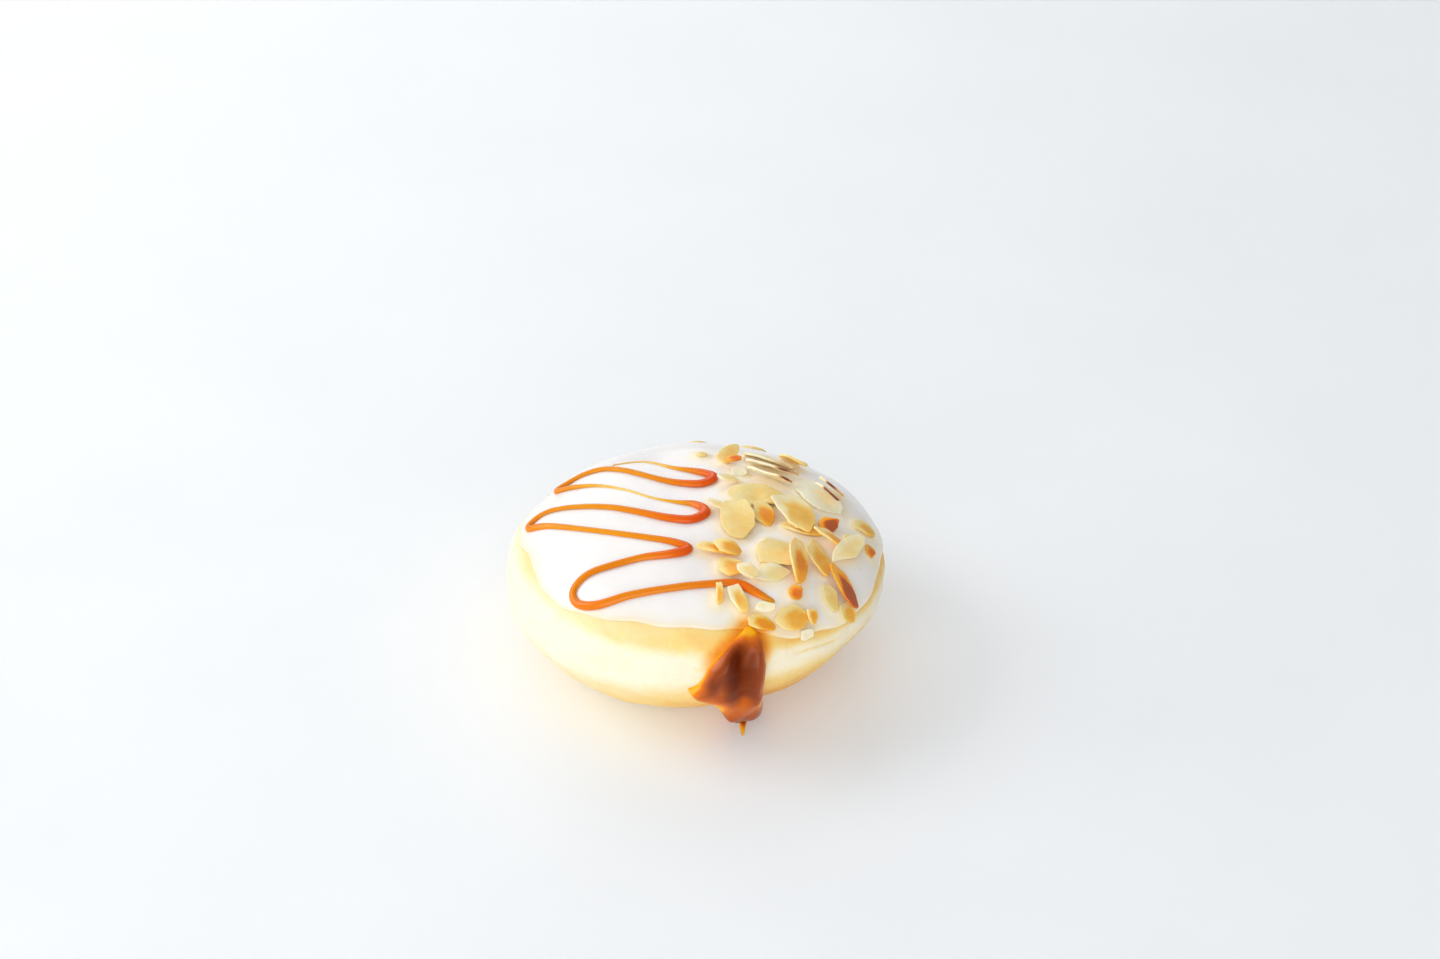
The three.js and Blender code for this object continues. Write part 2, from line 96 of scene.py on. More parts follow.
def round_the_dough(pairs, bearing):
    """A value that changes smoothly round the dough, from (bearing in degrees, value) pairs."""
    at, value = np.array(sorted(pairs), float).T
    at = np.radians(np.concatenate([at - 360, at, at + 360]))
    value = np.tile(value, 3)
    slope = np.gradient(value, at)
    turned = (bearing + np.pi) % (2 * np.pi) - np.pi
    k = np.searchsorted(at, turned, side="right") - 1
    step = at[k + 1] - at[k]
    t = (turned - at[k]) / step
    rise = value[k + 1] - value[k]
    bend = (1 - t) * (slope[k] * step - rise) - t * (slope[k + 1] * step - rise)
    return value[k] + t * rise + t * (1 - t) * bend


def crust(bearing, climb):
    """Points on the smooth dough: climb is -1 at the foot's rim, 0 at the waist and 1 at the crown."""
    below = climb < 0
    waist = WAIST_HEIGHT + WAIST_TILT * np.cos(bearing)
    turn = np.abs(climb) * np.pi / 2
    power = np.where(below, BELLY_POWER, CROWN_POWER)
    out = np.cos(turn).clip(0) ** (2 / power)
    up = np.sin(turn) ** (2 / power)
    inner = np.where(below, FOOT_RADIUS - FOOT_SHIFT * np.cos(bearing), 0)
    reach = inner + (RADIUS - inner) * out
    height = np.where(below, waist - waist * up, waist + (HEIGHT - waist) * up)
    return np.stack([reach * np.cos(bearing), reach * np.sin(bearing), height], -1)


def climb_at(bearing, height):
    """The climb at which the dough has a given height."""
    waist = WAIST_HEIGHT + WAIST_TILT * np.cos(bearing)
    above = height >= waist
    share = np.where(above, (height - waist) / (HEIGHT - waist), (waist - height) / waist)
    power = np.where(above, CROWN_POWER, BELLY_POWER)
    turn = np.arcsin(share.clip(0, 1) ** (power / 2))
    return np.where(above, 1, -1) * turn * 2 / np.pi


def outward(bearing, climb):
    """The outward normals of the smooth dough."""
    step = 0.002
    inside = climb.clip(-0.99, 0.995)
    round_it = crust(bearing + step, inside) - crust(bearing - step, inside)
    rise = crust(bearing, inside + step) - crust(bearing, inside - step)
    normal = np.cross(round_it, rise)
    return normal / np.linalg.norm(normal, axis=-1, keepdims=True)


def ripple(points, wavelength, seed):
    """A smooth random field over points, from about -1 to 1. wavelength may differ along X, Y and Z."""
    rng = np.random.default_rng(seed)
    waves = 14
    direction = rng.normal(size=(waves, 3))
    direction /= np.linalg.norm(direction, axis=1, keepdims=True)
    length = rng.uniform(0.7, 1.4, waves)
    phase = rng.uniform(0, 2 * np.pi, waves)
    scaled = points / wavelength
    total = np.zeros(points.shape[:-1])
    for k in range(waves):
        total += np.sin(2 * np.pi * (scaled @ direction[k]) / length[k] + phase[k])
    return total / np.sqrt(waves)


def off_crust(bearing, climb, distance):
    """Points a distance off the smooth dough, along its normals."""
    return crust(bearing, climb) + outward(bearing, climb) * np.asarray(distance)[..., None]


def smooth_step(value, start, end):
    """A share that eases from 0 to 1 as the value goes from start to end, up or down."""
    share = ((value - start) / (end - start)).clip(0, 1)
    return share * share * (3 - 2 * share)


# ---- Meshes ------------------------------------------------------------------------------------


def set_values(mesh, key, numbers):
    """Gives each point of a mesh a number that its material can read by name."""
    attribute = mesh.attributes.new(key, "FLOAT", "POINT")
    attribute.data.foreach_set("value", numbers.astype(np.float32).ravel())


def ring_mesh(name, points, values):
    """A mesh over rows of points in millimetres, each row closed on itself. values holds named numbers."""
    rows, columns = points.shape[:2]
    index = np.arange(rows * columns).reshape(rows, columns)
    index = np.concatenate([index, index[:, :1]], 1)
    quads = np.stack([index[:-1, :-1], index[:-1, 1:], index[1:, 1:], index[1:, :-1]], -1).reshape(-1, 4)
    mesh = bpy.data.meshes.new(name)
    mesh.from_pydata((points.reshape(-1, 3) * MM).tolist(), [], quads.tolist())
    for key, numbers in values.items():
        set_values(mesh, key, numbers)
    close_up(mesh)
    return mesh


def close_up(mesh):
    """Welds the points that meet at a pole or along a seam, and turns the faces outwards."""
    work = bmesh.new()
    work.from_mesh(mesh)
    bmesh.ops.remove_doubles(work, verts=work.verts, dist=0.002 * MM)
    bmesh.ops.recalc_face_normals(work, faces=work.faces)
    if work.calc_volume(signed=True) < 0:
        bmesh.ops.reverse_faces(work, faces=work.faces)
    work.to_mesh(mesh)
    work.free()


def piece(name, mesh, node, material):
    """Shows a mesh in place of a CAD node."""
    shown = bpy.data.objects.new(name, mesh)
    bpy.context.scene.collection.objects.link(shown)
    mesh.materials.append(material)
    mesh.polygons.foreach_set("use_smooth", [True] * len(mesh.polygons))
    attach(shown, "root")
    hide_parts(node)


def mesh_points(mesh):
    """The vertices of a mesh, in millimetres."""
    co = np.empty(len(mesh.vertices) * 3, np.float32)
    mesh.vertices.foreach_get("co", co)
    return co.reshape(-1, 3) / MM


def node_points(name):
    """The distinct vertices of a CAD node, in millimetres."""
    return np.unique(np.round(mesh_points(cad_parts[name].data), 3), axis=0)


def tree_of(points):
    """A search tree over points."""
    tree = KDTree(len(points))
    for i, point in enumerate(points):
        tree.insert(point, i)
    tree.balance()
    return tree


def distances(points, targets):
    """How far each point is from the nearest target."""
    tree = tree_of(targets)
    return np.array([tree.find(point)[2] for point in points])


# ---- Materials ---------------------------------------------------------------------------------


def srgb(red, green, blue):
    """A colour given as 0 to 255 display values, in the linear values that shaders use."""
    display = [value / 255 for value in (red, green, blue)]
    return [v / 12.92 if v <= 0.04045 else ((v + 0.055) / 1.055) ** 2.4 for v in display] + [1]


class Shader:
    """A node material with short ways to add the nodes used here."""

    def __init__(self, name):
        self.material = bpy.data.materials.new(name)
        self.material.use_nodes = True
        self.nodes = self.material.node_tree.nodes
        self.links = self.material.node_tree.links
        self.surface = self.nodes["Principled BSDF"]
        self.place = self.nodes.new("ShaderNodeTexCoord").outputs["Object"]

    def set(self, **values):
        """Sets constants on the surface's sockets, whose names have _ for each space here."""
        for key, value in values.items():
            self.surface.inputs[key.replace("_", " ")].default_value = value

    def feed(self, socket, source):
        self.links.new(source, self.surface.inputs[socket])

    def attribute(self, name):
        """The number that each point of the mesh holds under a name."""
        node = self.nodes.new("ShaderNodeAttribute")
        node.attribute_name = name
        return node.outputs["Fac"]

    def noise(self, size_mm, detail=3.0, stretch=(1, 1, 1)):
        """Noise from 0 to 1 whose features are about size_mm wide, drawn out along each axis by stretch."""
        mapping = self.nodes.new("ShaderNodeMapping")
        mapping.inputs["Scale"].default_value = [1 / share for share in stretch]
        self.links.new(self.place, mapping.inputs["Vector"])
        node = self.nodes.new("ShaderNodeTexNoise")
        node.inputs["Scale"].default_value = 1 / (size_mm * MM)
        node.inputs["Detail"].default_value = detail
        self.links.new(mapping.outputs["Vector"], node.inputs["Vector"])
        return node.outputs["Fac"]

    def cells(self, size_mm):
        """The distance from the middle of scattered cells about size_mm wide."""
        node = self.nodes.new("ShaderNodeTexVoronoi")
        node.inputs["Scale"].default_value = 1 / (size_mm * MM)
        self.links.new(self.place, node.inputs["Vector"])
        return node.outputs["Distance"]

    def math(self, operation, a, b):
        """One operation on two sockets or numbers."""
        node = self.nodes.new("ShaderNodeMath")
        node.operation = operation
        for socket, value in zip(node.inputs, (a, b)):
            if isinstance(value, (int, float)):
                socket.default_value = value
            else:
                self.links.new(value, socket)
        return node.outputs[0]

    def shifted(self, value, noise, amount):
        """A value with noise added, centred so that it moves the value up and down alike."""
        centred = self.math("SUBTRACT", noise, 0.5)
        return self.math("ADD", value, self.math("MULTIPLY", centred, amount))

    def spread(self, value, low, high):
        """Maps 0 to 1 onto low to high."""
        node = self.nodes.new("ShaderNodeMapRange")
        node.inputs["To Min"].default_value = low
        node.inputs["To Max"].default_value = high
        self.links.new(value, node.inputs["Value"])
        return node.outputs[0]

    def ramp(self, value, *stops):
        """Colours along a value: stops are (position, colour)."""
        node = self.nodes.new("ShaderNodeValToRGB")
        elements = node.color_ramp.elements
        while len(elements) < len(stops):
            elements.new(0.5)
        for element, (position, colour) in zip(elements, stops):
            element.position = position
            element.color = colour
        self.links.new(value, node.inputs["Fac"])
        return node.outputs["Color"]

    def mix(self, share, a, b):
        """Goes from colour a to colour b as share goes from 0 to 1."""
        node = self.nodes.new("ShaderNodeMix")
        node.data_type = "RGBA"
        self.links.new(share, node.inputs[0])
        for socket, value in ((node.inputs[6], a), (node.inputs[7], b)):
            if isinstance(value, list):
                socket.default_value = value
            else:
                self.links.new(value, socket)
        return node.outputs[2]

    def bump(self, height, depth_mm, onto=None):
        """Normals for relief depth_mm deep, laid onto other relief where there is some."""
        node = self.nodes.new("ShaderNodeBump")
        node.inputs["Distance"].default_value = depth_mm * MM
        self.links.new(height, node.inputs["Height"])
        if onto is not None:
            self.links.new(onto, node.inputs["Normal"])
        return node.outputs["Normal"]


def dough_material():
    """Fried crust: golden bands over a pale ring, with fine pores, and amber where caramel soaks in."""
    s = Shader("fried_dough")
    gold = s.shifted(s.attribute("gold"), s.noise(6, 4, (1, 1, 0.6)), 0.34)
    gold = s.shifted(gold, s.noise(1.4, 3), 0.14)
    tone = s.ramp(
        gold, (0.0, srgb(252, 240, 212)), (0.25, srgb(251, 232, 186)), (0.55, srgb(249, 214, 134)),
        (0.8, srgb(243, 188, 92)), (1.0, srgb(226, 154, 62)),
    )
    s.feed("Base Color", s.mix(soaked(s), tone, amber(s)))
    s.feed("Roughness", s.spread(s.noise(3, 4), 0.42, 0.62))
    pores = s.bump(s.noise(0.7, 4), 0.1)
    blisters = s.bump(s.cells(1.6), 0.05, pores)
    s.feed("Normal", s.bump(s.noise(3.2, 3, (1, 1, 0.5)), 0.2, blisters))
    s.set(Subsurface_Weight=0.25, Subsurface_Radius=(1.0, 0.6, 0.3), Subsurface_Scale=2.5 * MM)
    s.set(Specular_IOR_Level=0.35)
    return s.material


def soaked(s):
    """The share of caramel at each point of the dough or the icing."""
    return s.spread(s.shifted(s.attribute("soak"), s.noise(2.2, 3), 0.25), -0.1, 1.1)


def amber(s):
    """Caramel that has soaked in: deeper where there is more of it."""
    return s.ramp(
        s.attribute("soak"),
        (0.1, srgb(253, 218, 126)), (0.6, srgb(248, 186, 62)), (1.0, srgb(238, 148, 26)),
    )


def icing_material():
    """Set sugar icing: white and softly glossy, warmer at its thin edge and round the almonds."""
    s = Shader("white_icing")
    thin = s.shifted(s.attribute("thin"), s.noise(4, 3), 0.3)
    white = s.ramp(
        thin, (0.0, srgb(247, 244, 243)), (0.5, srgb(248, 240, 228)), (1.0, srgb(249, 228, 192)),
    )
    # Warmer round the almonds, up to this share.
    near_almonds = s.mix(s.spread(s.attribute("near_almonds"), 0, 0.6), white, srgb(254, 230, 170))
    s.feed("Base Color", s.mix(soaked(s), near_almonds, amber(s)))
    s.feed("Roughness", s.spread(s.noise(9, 3), 0.22, 0.38))
    s.feed("Normal", s.bump(s.noise(1.2, 3), 0.008, s.bump(s.noise(8, 2), 0.05)))
    s.set(Subsurface_Weight=0.3, Subsurface_Radius=(1.0, 0.85, 0.7), Subsurface_Scale=2 * MM)
    s.set(Coat_Weight=0.2, Coat_Roughness=0.12)
    return s.material


def caramel_material(name, stops, roughness):
    """Glossy caramel whose colour deepens with its depth number: how thick it lies, and on the run also
    painted shade and painted light. It shines less in a hollow.
    """
    s = Shader(name)
    depth = s.shifted(s.attribute("depth"), s.noise(3, 3), 0.16)
    s.feed("Base Color", s.ramp(depth, *stops))
    s.feed("Roughness", s.spread(s.noise(2.5, 3), *roughness))
    s.feed("Normal", s.bump(s.noise(2.2, 2), 0.05))
    s.set(Subsurface_Weight=0.2, Subsurface_Radius=(1.0, 0.45, 0.1), Subsurface_Scale=1.2 * MM)
    s.feed("Coat Weight", s.spread(s.attribute("hollow"), 0.4, 0))
    s.set(Specular_IOR_Level=0.06, Coat_Roughness=0.2)
    return s.material


def almond_material():
    """Flaked almond: cream, toasted in patches and painted deeper as painted shade on the side away from
    the key light, with a browned rim where its skin was.
    """
    s = Shader("flaked_almond")
    toast = s.shifted(s.attribute("toast"), s.noise(2.8, 4), 0.26)
    toast = s.shifted(toast, s.noise(0.7, 3), 0.1)
    face = s.ramp(
        toast, (0.0, srgb(254, 242, 214)), (0.22, srgb(254, 222, 156)), (0.45, srgb(252, 198, 92)),
        (0.66, srgb(247, 162, 26)), (0.85, srgb(232, 116, 6)), (1.0, srgb(176, 88, 34)),
    )
    skin = s.shifted(s.attribute("skin"), s.noise(1.1, 3), 0.3)
    brown = s.ramp(skin, (0.3, srgb(226, 150, 50)), (0.9, srgb(124, 60, 14)))
    s.feed("Base Color", s.mix(s.spread(skin, -0.1, 1.1), face, brown))
    s.feed("Roughness", s.spread(s.noise(2, 3), 0.38, 0.56))
    grain = s.bump(s.noise(0.5, 4, (1, 3, 1)), 0.04)
    s.feed("Normal", s.bump(s.noise(2.4, 3), 0.1, grain))
    s.set(Subsurface_Weight=0.5, Subsurface_Radius=(1.0, 0.6, 0.25), Subsurface_Scale=1.8 * MM)
    return s.material


# ---- The dough ---------------------------------------------------------------------------------

BEARINGS = np.linspace(0, 2 * np.pi, AROUND, endpoint=False)
DOUGH_ROWS = 210
FOOT_ROWS = np.array([0, 0.4, 0.75])  # across the flat underside, as shares of the way out
# How golden the crust is under the icing's edge, just below the pale ring, and by how much more
# it is lower down.
GOLD_ABOVE = 0.66
GOLD_BELOW = 0.56
GOLD_LOWEST = 0.34
# How golden the creases are painted, as painted shade in their folds.
CREASE_PAINTED_SHADE = 0.45
CREASE_DEPTH = 0.22
CREASE_HALF_WIDTH = 0.45


def golden(bearing, points):
    """How golden the crust is at each point: 0 in the pale ring, up to 1 on the fried sides, scaled round
    the dough by browning with painted light in it.
    """
    height = points[..., 2]
    top = round_the_dough(PALE_TOP, bearing) + 0.3 * ripple(points, 12, 11)
    bottom = round_the_dough(PALE_BOTTOM, bearing) + 0.4 * ripple(points, 12, 12)
    over = smooth_step(height, top - 1.4, top + 1.6)
    under = smooth_step(height, bottom + 1.6, bottom - 3.6)
    deeper = smooth_step(height, bottom - 2, bottom - 11)
    gold = np.maximum(GOLD_ABOVE * over, under * (GOLD_BELOW + GOLD_LOWEST * deeper))
    # Real browning and painted light: paler where the lights fall on the left, deeper in the shade on the
    # right.
    return gold * round_the_dough(BROWNING_AND_PAINTED_LIGHT, bearing)


def folded(bearing, height):
    """How deep in a crease each point of the side is, from 0 to 1."""
    depth = np.zeros_like(height)
    for (start, low), (end, high) in CREASES:
        along = (np.degrees(bearing) + 90) % 360 - 90
        share = (along - start) / (end - start)
        line = low + (high - low) * share + 0.35 * np.sin(share * 5)
        fade = smooth_step(share, 0, 0.3) * smooth_step(1 - share, 0, 0.3)
        depth = np.maximum(depth, fade * np.exp(-(((height - line) / CREASE_HALF_WIDTH) ** 2)))
    return depth


def lumps(points):
    """The broad unevenness of the dough, which shows through the icing too."""
    return 0.28 * ripple(points, (24, 24, 14), 1)


def relief(bearing, points):
    """How far the real dough stands off its smooth form: lumps, dimples, fine wrinkles and creases."""
    height = points[..., 2]
    dimples = 0.1 * ripple(points, 7, 2)
    pale = 1 - golden(bearing, points)
    wrinkles = 0.035 * ripple(points, (2.4, 2.4, 9), 3) * pale + 0.03 * ripple(points, 1.5, 4)
    uneven = lumps(points) + dimples + wrinkles - CREASE_DEPTH * folded(bearing, height)
    return uneven * smooth_step(height, 0.2, 4)


def make_dough(filling):
    """The whole outside of the dough. filling holds the points of the caramel that soaks into it."""
    bearing, climb = np.meshgrid(BEARINGS, np.linspace(-1, 1, DOUGH_ROWS))
    smooth = crust(bearing, climb)
    gold = golden(bearing, smooth)
    creased = folded(bearing, smooth[..., 2])
    points = off_crust(bearing, climb, relief(bearing, smooth))
    points[..., 2] = points[..., 2].clip(0, None)
    foot = points[:1] * FOOT_ROWS[:, None, None]
    under = np.full((len(foot), AROUND), gold[0, 0])
    # The creases are painted golden, as painted shade in their folds.
    values = {"gold": np.concatenate([under, np.maximum(gold, CREASE_PAINTED_SHADE * creased)])}
    mesh = ring_mesh("dough", np.concatenate([foot, points]), values)
    add_soak(mesh, filling)
    piece("dough_crust", mesh, "dough", dough_material())


# How caramel soaks into what it touches: the heights between which that grows, and below and above
# them how far it reaches. Below them it is also fainter, by this share.
SOAK_HEIGHTS = (21, 28.5)
SOAK_REACHES = (0.7, 3)
SOAK_FAINT = 0.2


def add_soak(mesh, filling):
    """Marks how far caramel has soaked in round the mouth, which is mostly above it."""
    points = mesh_points(mesh)
    far = distances(points, filling)
    above = smooth_step(points[:, 2], *SOAK_HEIGHTS)
    reach = SOAK_REACHES[0] + (SOAK_REACHES[1] - SOAK_REACHES[0]) * above
    soak = np.exp(-((far / reach) ** 2.4)) * (SOAK_FAINT + (1 - SOAK_FAINT) * above)
    set_values(mesh, "soak", soak)


# ---- The icing ---------------------------------------------------------------------------------

ICING_ROWS = 130
HIDDEN_ROWS = 14  # on its inner face
THINNING = 9  # how far in from its rim the icing has its whole thickness
INTO_DOUGH = 0.25  # how deep its inner face lies in the crust
CLING = 0.3  # how far it rises against an almond
CLING_REACH = 0.9
WARM_REACH = 2.4  # of the warmer tint round an almond and along the rim


def icing_end(bearing):
    """The climb at the icing's rim."""
    edge = round_the_dough(ICING_EDGE, bearing)
    rim = crust(bearing, climb_at(bearing, edge))
    return climb_at(bearing, edge + 0.3 * ripple(rim, 13, 21))


def icing_face(bearing, climb):
    """How far the icing's face stands off the smooth dough, and how far it is from its rim."""
    smooth = crust(bearing, climb)
    gap = np.linalg.norm(smooth - crust(bearing, icing_end(bearing)), axis=-1)
    lip = round_the_dough(ICING_RIM, bearing)
    rounded = (1 - (1 - gap / lip).clip(0, 1) ** 2) ** 0.5
    waves = 0.12 * ripple(smooth, 17, 23) + 0.02 * ripple(smooth, 6, 24)
    thickness = lip * rounded + (ICING_THICKNESS + waves - lip) * smooth_step(gap, 0, THINNING)
    return lumps(smooth) + thickness, gap


def make_icing(filling, almonds):
    """The icing's cap. While wet it clings to the almonds, so it rises a little where it meets them."""
    bearing, fall = np.meshgrid(BEARINGS, np.linspace(0, 1, ICING_ROWS) ** 0.85)
    climb = 1 - (1 - icing_end(bearing)) * fall
    face, gap = icing_face(bearing, climb)
    outer = off_crust(bearing, climb, face)
    far = distances(outer.reshape(-1, 3), almonds).reshape(face.shape)
    clinging = CLING * np.exp(-((far / CLING_REACH) ** 2))
    outer += clinging[..., None] * outward(bearing, climb)
    few = np.linspace(ICING_ROWS - 1, 0, HIDDEN_ROWS).astype(int)
    inner = off_crust(bearing, climb, relief(bearing, crust(bearing, climb)) - INTO_DOUGH)[few]
    values = {"thin": np.exp(-gap / WARM_REACH), "near_almonds": np.exp(-((far / WARM_REACH) ** 2))}
    values = {key: np.concatenate([value, value[few]]) for key, value in values.items()}
    mesh = ring_mesh("icing", np.concatenate([outer, inner]), values)
    add_soak(mesh, filling)
    piece("icing_glaze", mesh, "icing", icing_material())


def icing_ground():
    """Places on the dough: a tree to find them, where they are, their normals, and the icing's height."""
    bearing, climb = np.meshgrid(BEARINGS[::2], np.linspace(0, 1, 160))
    places = crust(bearing, climb).reshape(-1, 3)
    normals = outward(bearing, climb).reshape(-1, 3)
    return tree_of(places), places, normals, icing_face(bearing, climb)[0].ravel()


GROUND = icing_ground()  # worked out once, since every almond and the drizzle are seated on it


def height_off_dough(points):
    """For points above the dough: how far they stand off it, its normals, and how far the icing does."""
    tree, places, normals, icing = GROUND
    nearest = [tree.find(point)[1] for point in points]
    height = np.einsum("ij,ij->i", points - places[nearest], normals[nearest])
    return height, normals[nearest], icing[nearest]


# ---- The drizzle -------------------------------------------------------------------------------

# The strand's colours, from where it is thinnest to where it is thickest.
DRIZZLE_COLOURS = [
    (0.0, srgb(248, 204, 106)), (0.2, srgb(238, 168, 34)), (0.5, srgb(228, 138, 6)),
    (0.8, srgb(230, 108, 2)), (1.0, srgb(224, 70, 0)),
]
THIN_BEAD = 0.45  # the height at which the strand is palest
BEAD_RANGE = 1.3  # how much higher it is where it is deepest in colour
BEAD_REACH = 2  # within which the top of the strand is looked for
BEAD_SUNK = 0.05  # how deep it lies in the icing


def highest_nearby(points, height, reach):
    """The greatest height within reach of each point."""
    tree = tree_of(points)
    return np.array([max(height[found[1]] for found in tree.find_range(point, reach)) for point in points])


def strand_in_quads():
    """A copy of the CAD strand's mesh, with its triangles joined in pairs."""
    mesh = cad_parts["caramel_drizzle"].data.copy()
    mesh.materials.clear()
    work = bmesh.new()
    work.from_mesh(mesh)
    bmesh.ops.remove_doubles(work, verts=work.verts, dist=0.01 * MM)
    bmesh.ops.join_triangles(
        work, faces=work.faces, angle_face_threshold=radians(60), angle_shape_threshold=radians(90),
    )
    work.to_mesh(mesh)
    work.free()
    return mesh


def subdivided(mesh):
    """A mesh rounded by subdivision."""
    strand = bpy.data.objects.new("strand", mesh)
    bpy.context.scene.collection.objects.link(strand)
    rounding = strand.modifiers.new("rounding", "SUBSURF")
    rounding.levels = 2
    depsgraph = bpy.context.evaluated_depsgraph_get()
    fine = bpy.data.meshes.new_from_object(strand.evaluated_get(depsgraph))
    bpy.data.objects.remove(strand)
    return fine


def make_drizzle():
    """The CAD strand, let down onto the icing and rounded."""
    mesh = strand_in_quads()
    points = mesh_points(mesh)
    height, normal, icing = height_off_dough(points)
    bead = highest_nearby(points, height - height.min(), BEAD_REACH)
    set_values(mesh, "depth", ((bead - THIN_BEAD) / BEAD_RANGE).clip(0, 1))
    points += normal * (icing - height.min() - BEAD_SUNK)[:, None]
    mesh.vertices.foreach_set("co", (points * MM).astype(np.float32).ravel())
    material = caramel_material("drizzled_caramel", DRIZZLE_COLOURS, (0.14, 0.26))
    piece("drizzle_strand", subdivided(mesh), "caramel_drizzle", material)


# ---- The filling -------------------------------------------------------------------------------

# The outline of the run of caramel: height on the dough, its left and right edge along X, thickness.
RUN = [
    (31, 11.2, 12.8, 0.8), (30, 9.6, 14.2, 1.6), (28.4, 7, 15.2, 2.5), (26.6, 4.4, 15.7, 3.1),
    (24.6, 2.8, 15.9, 3.4), (22.4, 1.8, 15.8, 3.4), (20.6, 0.6, 15.7, 3.2), (19.4, -1.6, 15.6, 3),
    (18.4, -1, 15.6, 2.9), (16.8, 2.2, 15.6, 3), (14.6, 4.4, 15, 3.2), (12, 5.2, 14.7, 3.3),
    (9.4, 5.8, 15.2, 3.4), (6.8, 6.4, 15.8, 3.4), (4.2, 7, 16, 3.2), (2, 7.6, 15.8, 2.9),
    (0.6, 8.4, 15.2, 2.2),
]
RUN_ROWS = 150
RUN_COLUMNS = 110
RUN_EDGE = 0.15  # how far its edges stand off the dough
RUN_ROOT = 0.6  # how deep its inner face lies in the dough
RUN_LEAST = 0.3  # its least thickness
RUN_DEEP = 3.2  # the thickness from which its colour is deepest
MOUTH_BEARING = radians(-77)
# Under the dough's belly the run hangs free: how far its foot stands out, the height at which it
# leaves the dough, and the power by which it bends away.
HANG = 7
HANG_TOP = 13
HANG_POWER = 1.6
# The drop that runs on along the floor from the foot.
DRIP_X = 10.8
DRIP_HALF_WIDTH = 0.9
DRIP_TIP_Y = -36.8
DRIP_FACE = (4.6, 2.2)  # the run's heights between which the drop's upper face comes forward
DRIP_UNDERSIDE = (1.7, 0.9)  # and those between which its underside goes back in
DRIP_HUMP = 3.2  # four times how much higher it is halfway along
DRIP_TIP_RISE = 0.5

# Folds and hollows in the run: where each starts and ends, as X and height, its width and its lift.
FOLDS = [
    ((10.5, 28.6), (4, 22.4), 1.5, 0.8), ((14.4, 27.4), (14, 15), 1.5, 1),
    ((10.2, 26.4), (10.6, 17), 2.2, -1.6), ((-0.4, 18.6), (7, 11.4), 1.6, 0.9),
    ((7, 11.4), (14.6, 8), 2, 0.8), ((5.4, 23), (5.6, 20), 1.1, -0.6),
]
# Where the caramel's colour differs from its depth, in the same form: above 0 is darker. The last two make
# it paler where it runs thin, at its top and in the drop. The others are painted light: painted shade down
# the deep hollow in the middle and in the fold at the upper left, painted light on the left lobe and across
# the lower part, which face the floor, and painted reflections along the right edge and the upper left
# edge.
TONES_AND_PAINTED_LIGHT = [
    ((9.4, 26.4), (10.4, 18.5), 2.8, 0.6), ((-1, 19), (5, 15.5), 2.2, -0.34),
    ((5.6, 14.6), (15, 12), 3, -0.36), ((3.6, 24.4), (3.2, 22), 1.5, 0.16),
    ((14.6, 27), (14.4, 16), 1.5, -0.16), ((9.4, 28.8), (4, 24.4), 1.5, -0.16),
    ((12.4, 31), (11.4, 29.6), 1.8, -0.4), ((10.8, 0), (10.8, 1.8), 1.5, -1.2),
]
# The deep hollow in the middle, where the caramel mirrors nothing bright, in the same form.
HOLLOW = ((9.6, 26.6), (10.4, 16.5), 2.8, 1)
# The run's colours, from where it is thinnest to where it is thickest.
RUN_COLOURS = [
    (0.0, srgb(252, 180, 8)), (0.18, srgb(234, 126, 8)), (0.38, srgb(198, 96, 26)),
    (0.66, srgb(144, 62, 14)), (1.0, srgb(98, 32, 0)),
]


def strokes(lines, x, height):
    """The sum of soft strokes drawn over the run, each from a start to an end."""
    total = np.zeros_like(x)
    for start, end, width, amount in lines:
        run = np.subtract(end, start)
        share = ((x - start[0]) * run[0] + (height - start[1]) * run[1]) / (run @ run)
        share = share.clip(0, 1)
        far = np.hypot(x - start[0] - share * run[0], height - start[1] - share * run[1])
        total += amount * np.exp(-((far / width) ** 2))
    return total


def run_grid():
    """The run's rows and columns: X, height and thickness at each point, and its share across."""
    row = np.linspace(0, len(RUN) - 1, RUN_ROWS)
    at = [np.interp(row, np.arange(len(RUN)), column) for column in zip(*RUN)]
    height, left, right, thick = (np.repeat(values[:, None], RUN_COLUMNS, 1) for values in at)
    across = np.sin(np.linspace(-1, 1, RUN_COLUMNS) * np.pi / 2)[None]
    return left + (right - left) * (across + 1) / 2, height, thick, across


def bearing_near_mouth(x, height):
    """The bearing at which the dough near the mouth has a given X, at a given height."""
    middle = np.full_like(height, MOUTH_BEARING)
    reach = np.hypot(*np.moveaxis(crust(middle, climb_at(middle, height))[..., :2], -1, 0))
    return np.arcsin((x / reach).clip(-1, 1)) - np.pi / 2


def pull_drop(outer, x, height):
    """Draws the foot of the run's outer face out into a drop that tapers along the floor."""
    drop = np.exp(-(((x - DRIP_X) / DRIP_HALF_WIDTH) ** 2)) * smooth_step(height, *DRIP_FACE)
    underneath = smooth_step(height, *DRIP_UNDERSIDE)
    outer[..., 1] += (DRIP_TIP_Y - outer[..., 1]) * drop * (1 - underneath)
    outer[..., 2] += (DRIP_HUMP * (1 - drop) + DRIP_TIP_RISE) * drop * (1 - underneath)


